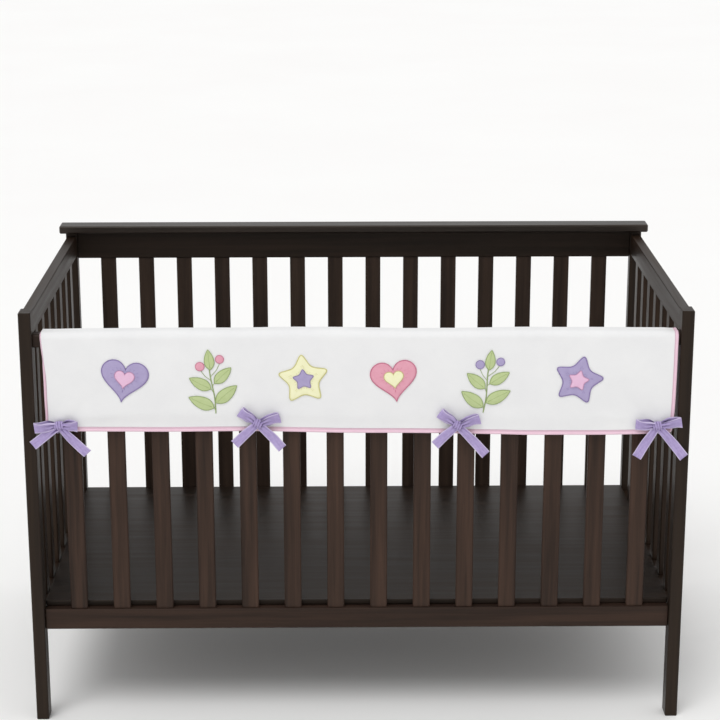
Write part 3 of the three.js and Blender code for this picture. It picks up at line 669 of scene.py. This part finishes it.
bows = [
    {"strap": -0.624, "tilt": 4, "loops": [(-0.051, -0.006), (0.038, -0.002)],
     "tails": [(-0.056, -0.043), (0.057, -0.061)],
     "bend": (0, -0.003), "pleats": (1.9, 0.2, 2.6, 0.9), "folds": (0.0026, 0.0015)},
    {"strap": -0.193, "tilt": -28, "loops": [(-0.036, 0.026), (0.046, 0.013)],
     "tails": [(-0.048, -0.045), (0.051, -0.054)],
     "bend": (0, 0.001), "pleats": (0.4, 2.2, 1.2, 2.9), "folds": (0.0008, 0.0008)},
    {"strap": 0.192, "tilt": -30, "loops": [(-0.037, 0.027), (0.046, 0.014)],
     "tails": [(-0.046, -0.043), (0.060, -0.064)],
     "bend": (0, 0.0006), "pleats": (0.7, 1.9, 1.0, 2.4), "folds": (0.0008, 0.0008)},
    {"strap": 0.634, "tilt": 6, "loops": [(-0.045, 0.003), (0.050, 0.008)],
     "tails": [(-0.041, -0.068), (0.058, -0.069)],
     "bend": (0, 0.001), "pleats": (2.2, 0.8, 2.7, 1.4), "folds": (0.0008, 0.0010)},
]


# Each step has its middle, the way across, the width, how deep its pleats and its cup are, and how much
# shade is painted on its inner face. The edges are painted pale as a highlight, fold valleys dark as shade.
def ribbonBody(steps, pleat):
    rings, marks = [], []
    count = ribbon["across"]
    spread = [2 * i / (count - 1) - 1 for i in range(count)]
    for k, (at, across, width, fold, cup, dark) in enumerate(steps):
        going = (steps[min(len(steps) - 1, k + 1)][0] - steps[max(0, k - 1)][0]).normalized()
        normal = across.cross(going).normalized()
        outer, inner, inside, outside = [], [], [], []
        for s in spread:
            wave = math.cos(ribbon["pleating"] * math.pi * s + pleat)
            wave = math.copysign(abs(wave) ** 0.8, wave)
            point = at + across * (s * width / 2) + normal * (fold * wave + cup * (s * s - 0.4))
            half = ribbon["thick"] / 2 * (1 - 0.5 * abs(s) ** 6)
            outer.append(point + normal * half)
            inner.append(point - normal * half)
            # Marks: a painted highlight at both edges, painted shade on the inner face and in the fold
            # valleys
            paintedHighlight = smooth((abs(s) - 0.82) / 0.1)
            inside.append(paintedHighlight * (1 - dark) - dark)
            foldShade = min(1, fold / ribbon["deepest"]) * max(0, wave) ** 3
            outside.append(paintedHighlight - 1.1 * foldShade)
        rings.append(outer + inner[::-1])
        marks += inside + outside[::-1]
    return skin(rings, marks)


def directions(place):
    reach = math.hypot(*place)
    direction = Vector((place[0] / reach, 0, place[1] / reach))
    return reach, direction, Vector((-direction.z, 0, direction.x))


def loopBody(knot, place, pleat):
    reach, direction, rising = directions(place)
    forward = Vector((0, -math.copysign(1, place[0]), 0))
    steps = []
    for i in range(ribbon["steps"] + 1):
        angle = mix(loop["from"], 2 - loop["from"], i / ribbon["steps"]) * math.pi
        share = (1 - math.cos(angle)) / 2
        at = knot + direction * (reach * share) + rising * (0.0010 * math.sin(3 * angle + pleat))
        at.y -= loop["depth"] * math.sin(angle) + loop["drift"] * share
        lean = math.sin(angle) * loop["frontLean" if angle < math.pi else "backLean"]
        across = rising * math.cos(lean) + forward * math.sin(lean)
        near = 1 - smooth(share * 1.9)
        width = mix(ribbon["width"] + loop["wider"], ribbon["gathered"], near)
        fold = ribbon["deepest"] * (1 - smooth(share * 1.2))
        # The last field paints shade on the loop's inner face near the knot
        steps.append((at, across, width, fold, 0, 0.9 * (1 - smooth(share * 1.3))))
    return ribbonBody(steps, pleat)


def tailBody(knot, place, bend, pleat, fold):
    reach, direction, across = directions(place)
    steps = []
    for i in range(ribbon["steps"] + 1):
        share = mix(tail["from"], 1, i / ribbon["steps"])
        at = knot + direction * (share * reach) + across * (bend * math.sin(math.pi * share))
        at.y -= tail["ripple"] * math.sin(2.5 * math.pi * share)
        near = 1 - smooth(share * 1.6)
        width = mix(ribbon["width"] * mix(tail["narrow"], 1, share), ribbon["pinched"], near)
        cup = tail["cup"] * math.sin(2.6 * share + pleat) * (1 - near)
        steps.append((at, across, width, fold * (1 - smooth(share * 1.7)), cup, 0))
    return ribbonBody(steps, pleat)


# The knot: shallow grooves run round it, and it is fuller in front. Its grooves and both ends are painted
# dark as shade.
def knotBody(centre, tilt):
    rings, marks = [], []
    halfX, halfY, halfZ = ribbon["knot"]
    c, s = math.cos(math.radians(tilt)), math.sin(math.radians(tilt))
    for r in range(1, wrap["slices"]):
        x = -math.cos(math.pi * r / wrap["slices"])
        ring = []
        for i in range(wrap["points"]):
            around = 2 * math.pi * i / wrap["points"]
            groove = math.cos(wrap["turns"] * math.pi * x + wrap["shift"] + math.sin(around))
            reach = math.sin(math.pi * r / wrap["slices"]) ** 0.5 * (1 - wrap["groove"] * groove)
            deep = halfY * (wrap["front"] if math.cos(around) > 0 else 1)
            place = Vector((x * halfX, -math.cos(around) * reach * deep, math.sin(around) * reach * halfZ))
            ring.append(centre + Vector((place.x * c - place.z * s, place.y, place.x * s + place.z * c)))
            # painted shade in the grooves and at both ends
            marks.append(-0.85 * max(0, groove) ** 4 - 0.9 * smooth((abs(x) - 0.75) / 0.25))
        rings.append(ring)
    return skin(rings, marks)


# From behind the knot, under the front hem and through to the back one. Each place has its width.
def strapBody(x, knot, frontY, lowFront, lowBack):
    low, kneeY = min(lowFront, lowBack) - 0.0014, frontY + 0.004
    route = [
        (knot.x, frontY, knot.z + 0.004, 0.010),
        (mix(knot.x, x, 0.35), frontY, mix(knot.z, lowFront, 0.6), 0.010),
        (mix(knot.x, x, 0.6), frontY, lowFront + 0.002, 0.010),
        (mix(knot.x, x, 0.8), frontY + 0.0014, lowFront - 0.0008, 0.0105),
        (mix(knot.x, x, 0.9), kneeY, lowFront - 0.0022, 0.011),
        (x, kneeY + 0.006, low, 0.012),
        (x, zeroY + 0.0065, low, 0.012),
        (x, zeroY + 0.020, low, 0.013),
        (x, zeroY + 0.032, lowBack - 0.0012, 0.014),
    ]
    return ribbonBody([(Vector(step[:3]), Vector((1, 0, 0)), step[3], 0.0004, 0, 0) for step in route], 0.6)


# The piping's lowest point
def pipingLow(x, t):
    middle = coverPoint(x, t, True).lerp(coverPoint(x, t, False), 0.5)
    return middle.z - piping["clear"] - piping["hem"] - 2 * piping["radius"]


bowPieces, strapPieces = [], []
for number, (bow, (knotX, knotZ)) in enumerate(zip(bows, knots), 1):
    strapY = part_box(f"tie_strap_{number}")[0].y + 0.0006
    knot = Vector((knotX, strapY - 0.0009 - ribbon["knot"][1], knotZ))
    pleats = bow["pleats"]
    parts = [loopBody(knot, place, pleats[k]) for k, place in enumerate(bow["loops"])]
    for k, place in enumerate(bow["tails"]):
        parts.append(tailBody(knot, place, bow["bend"][k], pleats[k + 2], bow["folds"][k]))
    parts.append(knotBody(knot, bow["tilt"]))
    bowPieces.append(makePiece(f"bow{number}", parts, ribbonCloth))
    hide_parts(f"bow_{number}")
    strap = strapBody(bow["strap"], knot, strapY, pipingLow(knotX, 0), pipingLow(bow["strap"], 3))
    strapPieces.append(makePiece(f"tieStrap{number}", [strap], ribbonCloth))
    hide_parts(f"tie_strap_{number}")
print("bows made")

# Applique: hearts, stars and leafy sprigs in a row
applique = {
    "lift": 0.0004, "thick": 0.0011, "over": 0.0018, "crown": 0.0007, "inner": 0.42, "rays": 24,
    "ray": (1.22, 1.42), "rings": 8,
}
# How long the stitches are across each line, and how high a line lies over bare cloth and a patch
stitches = {
    "edge": 0.0030, "innerEdge": 0.0022, "leafEdge": 0.0024, "stem": 0.0030, "stalk": 0.0018,
    "berryStalk": 0.0015, "vein": 0.0014, "ray": 0.0012, "onCloth": 0.0006, "onPatch": 0.0020,
}
hearts = [
    {"name": "lavender", "x": -0.478, "z": 0.766, "reach": 0.049, "turn": -9,
     "cloth": "lavender", "middle": "palePink"},
    {"name": "pink", "x": 0.076, "z": 0.764, "reach": 0.048, "turn": 7,
     "cloth": "pink", "middle": "yellow"},
]
stars = [
    {"name": "yellow", "x": -0.110, "z": 0.762, "reach": 0.057, "turn": 5,
     "cloth": "yellow", "middle": "lavender"},
    {"name": "lavender", "x": 0.456, "z": 0.758, "reach": 0.056, "turn": -13,
     "cloth": "lavender", "middle": "palePink"},
]
sprigs = [
    {"name": "left", "x": -0.298, "z": 0.752, "size": 1.2, "turn": 6, "berries": "pink"},
    {"name": "right", "x": 0.268, "z": 0.750, "size": 1.18, "turn": -7, "berries": "lavender"},
]
sprigLeaves = [
    ((-0.022, -0.030), 150, 0.024, 0.0105), ((0.022, -0.020), 34, 0.024, 0.0105),
    ((-0.020, 0.004), 146, 0.021, 0.0095), ((0.020, 0.014), 38, 0.020, 0.009), ((0, 0.044), 90, 0.018, 0.008),
]
sprigBerries = [((-0.017, 0.034), 0.0075), ((0.018, 0.043), 0.007)]
patchColors = {
    "green": ("c1ce9c", "b3c28a"), "pink": ("e4a8b9", "da97a9"), "lavender": ("b2a7cb", "a297bd"),
    "yellow": ("f3f2cd", "ebe9bd"), "palePink": ("e8c2dc", "dfb4d1"),
}
threadColors = {
    "green": ("a0b472", "8ba15e"), "pink": ("cf7592", "bd607f"), "lavender": ("8f7cb3", "7c699f"),
    "yellow": ("d8d48c", "c8c277"), "palePink": ("cf9abc", "c088ac"),
}
patchCloth = {name: clothMaterial(name + "Patch", *pair, scale=70.0) for name, pair in patchColors.items()}
threadLook = {name: threadMaterial(name + "Thread", *pair) for name, pair in threadColors.items()}
stitched = {name: [] for name in threadColors}  # lines to stitch, by thread


def heartOutline(reach, count=130):
    outline = []
    for i in range(count):
        turn = i / count * 2 * math.pi
        rise = 13 * math.cos(turn) - 5 * math.cos(2 * turn) - 2 * math.cos(3 * turn) - math.cos(4 * turn)
        outline.append((-reach * math.sin(turn) ** 3, reach * rise / 16))
    return outline


def starOutline(reach, points=5, waist=0.54, soft=0.3, steps=11):
    turns = [math.radians(90 + k * 180 / points) for k in range(2 * points)]
    far = [reach * (waist if k % 2 else 1) for k in range(2 * points)]
    corners = [(f * math.cos(a), f * math.sin(a)) for f, a in zip(far, turns)]
    outline = []
    for k, here in enumerate(corners):
        before, after = corners[k - 1], corners[(k + 1) % len(corners)]
        for s in (i / steps for i in range(steps + 1)):
            outline.append(mixPoint(mixPoint(here, before, soft * (1 - s) ** 2), after, soft * s**2))
    return outline


def oval(halfLong, halfWide, count):
    turns = [2 * math.pi * i / count for i in range(count)]
    return [(halfLong * math.cos(a), halfWide * math.sin(a)) for a in turns]


def leafOutline(half, wide, count=64):
    points = [(x, z, x / half) for x, z in oval(half, wide, count)]
    return [(x, z * (1 - 0.3 * s) * math.sqrt(max(0, 1 - abs(s) ** 3))) for x, z, s in points]


def placed(outline, x, z, turn):
    c, s = math.cos(math.radians(turn)), math.sin(math.radians(turn))
    return [(x + a * c - b * s, z + a * s + b * c) for a, b in outline]


# A thin crowned patch on the front flap, from rings round its middle
def patchBody(outline, middle, lift):
    rings, count = applique["rings"], len(outline)
    points, faces = [], []
    for height, crown in ((lift + applique["thick"], applique["crown"]), (lift, 0)):
        for r in range(rings + 1):
            for spot in outline if r else [middle]:
                x, z = mixPoint(middle, spot, r / rings)
                points.append(Vector((x, faceY(x, z) - height - crown * (1 - (r / rings) ** 4), z)))
    layer = 1 + rings * count
    edge = (rings - 1) * count + 1
    for i in range(count):
        j = (i + 1) % count
        faces += [(0, 1 + i, 1 + j), (layer, layer + 1 + j, layer + 1 + i)]
        for a, b in ((1 + r * count + i, 1 + r * count + j) for r in range(rings - 1)):
            faces.append((a, a + count, b + count, b))
            faces.append((layer + a, layer + b, layer + b + count, layer + a + count))
        faces.append((edge + i, layer + edge + i, layer + edge + j, edge + j))
    uvs = [[(points[v].x, points[v].z) for v in face] for face in faces]
    return {"points": points, "faces": faces, "uvs": uvs, "marks": [0.0] * len(points)}


def stitch(thread, points, length, lift, closed=False):
    stitched[thread].append({"points": points, "closed": closed, "length": length, "lift": lift})


def addPatch(node, outline, middle, cloth, lift=applique["lift"], length=stitches["edge"]):
    words = node.split("_")
    name = words[0] + "".join(word.title() for word in words[1:])
    body = patchBody(outline, middle, lift)
    piece = makePiece(name, [body], patchCloth[cloth])
    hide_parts(node)
    edge = [mixPoint(middle, spot, 0.985) for spot in outline]
    stitch(cloth, edge, length, lift + applique["thick"], closed=True)


overPatch = applique["lift"] + applique["over"]
for kind, outlineAt, shapes in (("heart", heartOutline, hearts), ("star", starOutline, stars)):
    for shape in shapes:
        x, z, reach, turn = shape["x"], shape["z"], shape["reach"], shape["turn"]
        name = f"{kind}_{shape['name']}"
        addPatch(name, placed(outlineAt(reach), x, z, turn), (x, z), shape["cloth"])
        innerReach, rays = reach * applique["inner"], applique["rays"]
        inner = outlineAt(innerReach)
        placedInner = placed(inner, x, z, turn)
        addPatch(name + "_inner", placedInner, (x, z), shape["middle"], overPatch, stitches["innerEdge"])
        spots = outlineAt(innerReach, rays) if kind == "heart" else inner[: rays * 5 : 5]
        for a, b in spots:  # short rays round the inner patch
            ray = placed([(a * s, b * s) for s in applique["ray"]], x, z, turn)
            stitch(shape["cloth"], ray, stitches["ray"], stitches["onPatch"])
for sprig in sprigs:
    x, z, size, turn = sprig["x"], sprig["z"], sprig["size"], sprig["turn"]

    def onSprig(spots):
        return placed([(a * size, b * size) for a, b in spots], x, z, turn)

    stem = [(0.0015 * math.sin(s * 5), mix(-0.052, 0.028, s)) for s in (i / 10 for i in range(11))]
    stitch("green", onSprig(stem), stitches["stem"], stitches["onCloth"])
    for k, (at, lean, half, wide) in enumerate(sprigLeaves, 1):
        middle = onSprig([at])[0]
        outline = placed(leafOutline(half * size, wide * size), *middle, lean + turn)
        leaf = f"sprig_{sprig['name']}_leaf_{k}"
        addPatch(leaf, outline, middle, "green", length=stitches["leafEdge"])
        vein = [(-half * size * 0.8, 0), (0, wide * size * 0.08), (half * size * 0.75, 0)]
        stitch("green", placed(vein, *middle, lean + turn), stitches["vein"], stitches["onPatch"])
        if at[0]:
            base = placed([(-half * size * 1.02, 0)], *middle, lean + turn)[0]
            joint = onSprig([(0, at[1] - 0.017)])[0]
            stitch("green", [base, joint], stitches["stalk"], stitches["onCloth"])
    for k, (at, half) in enumerate(sprigBerries, 1):
        middle = onSprig([at])[0]
        outline = placed(oval(half * size, half * size, 44), *middle, 0)
        berry = f"sprig_{sprig['name']}_berry_{k}"
        addPatch(berry, outline, middle, sprig["berries"], length=stitches["innerEdge"])
        stalk = [(0, at[1] - 0.028), (at[0] * 0.6, at[1] - 0.018), (at[0] * 0.96, at[1] - half)]
        stitch("green", onSprig(stalk), stitches["berryStalk"], stitches["onCloth"])

# Embroidery: satin stitches laid across a line
satin = {"Spacing": 0.0008, "Thread": 0.00042, "Slant": 0.10, "Seed": 4}


def buildSatinTree():
    tree = bpy.data.node_groups.new("satinStitch", "GeometryNodeTree")
    kinds = {
        "Geometry": "Geometry", "Spacing": "Float", "Thread": "Float", "Slant": "Float",
        "Seed": "Int", "Finish": "Material",
    }
    for label, kind in kinds.items():
        tree.interface.new_socket(label, in_out="INPUT", socket_type="NodeSocket" + kind)
    tree.interface.new_socket("Geometry", in_out="OUTPUT", socket_type="NodeSocketGeometry")
    new, link = tree.nodes.new, tree.links.new
    gin, gout = new("NodeGroupInput").outputs, new("NodeGroupOutput")
    length = new("GeometryNodeInputNamedAttribute")
    length.data_type = "FLOAT"
    length.inputs["Name"].default_value = "stitchLength"
    toCurve, resample = new("GeometryNodeMeshToCurve"), new("GeometryNodeResampleCurve")
    resample.mode = "LENGTH"
    link(gin["Geometry"], toCurve.inputs[0])
    link(toCurve.outputs[0], resample.inputs["Curve"])
    link(gin["Spacing"], resample.inputs["Length"])
    tangent, cross = new("GeometryNodeInputTangent"), new("ShaderNodeVectorMath")
    cross.operation = "CROSS_PRODUCT"
    cross.inputs[1].default_value = (0, -1, 0)
    link(tangent.outputs[0], cross.inputs[0])
    slope = new("FunctionNodeRandomValue")
    slope.data_type = "FLOAT"
    low, high = [socket for socket in slope.inputs if socket.type == "VALUE"][:2]
    link(calc(tree, "MULTIPLY", gin["Slant"], -1), low)
    link(gin["Slant"], high)
    link(gin["Seed"], slope.inputs["Seed"])
    tilt, total = new("ShaderNodeVectorMath"), new("ShaderNodeVectorMath")
    tilt.operation = "SCALE"
    link(tangent.outputs[0], tilt.inputs[0])
    link(next(socket for socket in slope.outputs if socket.type == "VALUE"), tilt.inputs["Scale"])
    link(cross.outputs[0], total.inputs[0])
    link(tilt.outputs[0], total.inputs[1])
    align = new("FunctionNodeAlignRotationToVector")
    align.axis = "X"
    link(total.outputs[0], align.inputs["Vector"])
    bead = new("GeometryNodeMeshUVSphere")
    bead.inputs["Segments"].default_value = 6
    bead.inputs["Rings"].default_value = 4
    bead.inputs["Radius"].default_value = 1
    size = new("ShaderNodeCombineXYZ")
    link(calc(tree, "MULTIPLY", length.outputs[0], 0.5), size.inputs[0])
    link(gin["Thread"], size.inputs[1])
    link(gin["Thread"], size.inputs[2])
    instance = new("GeometryNodeInstanceOnPoints")
    link(resample.outputs[0], instance.inputs["Points"])
    link(bead.outputs["Mesh"], instance.inputs["Instance"])
    link(align.outputs[0], instance.inputs["Rotation"])
    link(size.outputs[0], instance.inputs["Scale"])
    kinds = ("RealizeInstances", "SetShadeSmooth", "SetMaterial")
    realize, shade, finish = [new("GeometryNode" + kind) for kind in kinds]
    link(instance.outputs[0], realize.inputs[0])
    link(realize.outputs[0], shade.inputs[0])
    link(shade.outputs[0], finish.inputs["Geometry"])
    link(gin["Finish"], finish.inputs["Material"])
    link(finish.outputs[0], gout.inputs[0])
    return tree


# One mesh of edges for every line of a thread, a point about every 2 mm so that it lies on the cloth
def stitchLines(lines):
    points, edges, lengths = [], [], []
    for line in lines:
        start = len(points)
        spots = line["points"] + (line["points"][:1] if line["closed"] else [])
        for a, b in zip(spots, spots[1:]):
            steps = max(1, int(math.dist(a, b) / 0.002))
            points += [mixPoint(a, b, i / steps) + (line["lift"],) for i in range(steps)]
        if not line["closed"]:
            points.append(spots[-1] + (line["lift"],))
        last = len(points) - 1
        edges += [(i, i + 1) for i in range(start, last)] + ([(last, start)] if line["closed"] else [])
        lengths += [line["length"]] * (last + 1 - start)
    mesh = bpy.data.meshes.new("stitchLines")
    mesh.from_pydata([(x, faceY(x, z) - lift, z) for x, z, lift in points], edges, [])
    mesh.attributes.new("stitchLength", "FLOAT", "POINT").data.foreach_set("value", lengths)
    return mesh


satinTree = buildSatinTree()
sockets = {s.name: s.identifier for s in satinTree.interface.items_tree if s.in_out == "INPUT"}
for thread, lines in stitched.items():
    holder = bpy.data.objects.new("stitchHolder", stitchLines(lines))
    bpy.context.scene.collection.objects.link(holder)
    modifier = holder.modifiers.new("satin", "NODES")
    modifier.node_group = satinTree
    for label, value in {**satin, "Finish": threadLook[thread]}.items():
        modifier[sockets[label]] = value
    made = bpy.data.meshes.new_from_object(holder.evaluated_get(bpy.context.evaluated_depsgraph_get()))
    bpy.data.objects.remove(holder)
    name = "embroidery" + thread[0].upper() + thread[1:]
    finishPiece(name, made, threadLook[thread])
    print(name, len(made.polygons), "faces")

# What the soft pieces were cut to
middles = [coverPoint(0, t, True).lerp(coverPoint(0, t, False), 0.5) for t in coverRows]
for piece, bow in zip(bowPieces, bows):
    tape = sum(2 * math.hypot(*place) for place in bow["loops"])
    tape += sum(math.hypot(*place) for place in bow["tails"])

# Floor, light and surroundings
studio = {
    "floor": ("f6f5f4", "f8f8f7"),
    "around": 0.735,
    "suns": [
        {"name": "softSun", "energy": 1.17, "soft": 32, "from": (-1.0, -2.0, 3.5)},
        {"name": "frontFill", "energy": 0.05, "soft": 60, "from": (0.3, -3.0, 1.0)},
    ],
}
floorMesh = bpy.data.meshes.new("floor")
floorMesh.from_pydata([(-40, -40, 0), (40, -40, 0), (40, 60, 0), (-40, 60, 0)], [], [(0, 1, 2, 3)])
floorLook, floorTree, floorShader = newMaterial("floorLook", 0.95, Specular_IOR_Level=0.1)
floorPlace = floorTree.nodes.new("ShaderNodeTexCoord").outputs["Object"]
floorMask = placeGroup(floorTree, "mottle", Vector=floorPlace, Scale=0.8)["Mask"]
floorColor = mixColor(floorTree, floorMask, *[hexColor(c) for c in studio["floor"]])
floorTree.links.new(floorColor, floorShader.inputs["Base Color"])
floorMesh.materials.append(floorLook)
floor = bpy.data.objects.new("floor", floorMesh)
bpy.context.scene.collection.objects.link(floor)

for light in studio["suns"]:
    sunData = bpy.data.lights.new(light["name"], "SUN")
    sunData.energy = light["energy"]
    sunData.angle = math.radians(light["soft"])
    sun = bpy.data.objects.new(light["name"], sunData)
    sun.rotation_euler = Vector(light["from"]).to_track_quat("Z", "Y").to_euler()
    bpy.context.scene.collection.objects.link(sun)

world = bpy.data.worlds.new("studioWorld")
world.use_nodes = True
world.node_tree.nodes["Background"].inputs["Color"].default_value = (1, 1, 1, 1)
world.node_tree.nodes["Background"].inputs["Strength"].default_value = studio["around"]
bpy.context.scene.world = world
bpy.context.scene.view_settings.view_transform = "Standard"
